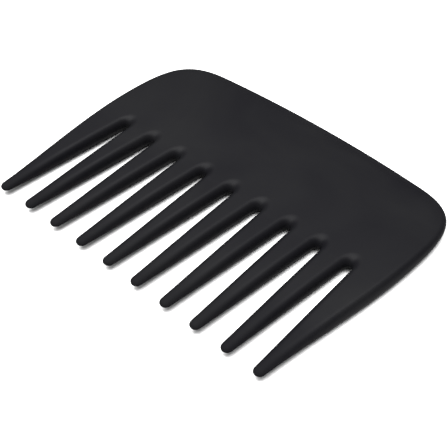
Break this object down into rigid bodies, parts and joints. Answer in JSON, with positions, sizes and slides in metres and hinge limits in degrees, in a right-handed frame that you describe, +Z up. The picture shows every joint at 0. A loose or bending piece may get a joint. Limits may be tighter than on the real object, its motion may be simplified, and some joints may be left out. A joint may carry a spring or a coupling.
{
  "type": "wide tooth comb",
  "caption": "Flat moulded comb with a broad arched back and long, widely spaced tapering teeth, for detangling hair.",
  "frame": {"origin": "middle of the comb's length and depth, on the surface it lies on", "axes": "+X along the comb's length, -Y the way the teeth point, +Z up out of the comb's upper face"},
  "size_m": [0.132, 0.1002, 0.0059],
  "materials": {
    "comb_plastic": "matt charcoal black, fine moulded grain with a soft sheen"
  },
  "bodies": {
    "root": {"back": "comb_plastic", "tooth_01": "comb_plastic", "tooth_02": "comb_plastic", "tooth_03": "comb_plastic", "tooth_04": "comb_plastic", "tooth_05": "comb_plastic", "tooth_06": "comb_plastic", "tooth_07": "comb_plastic", "tooth_08": "comb_plastic", "tooth_09": "comb_plastic", "tooth_10": "comb_plastic"}
  },
  "joints": []
}
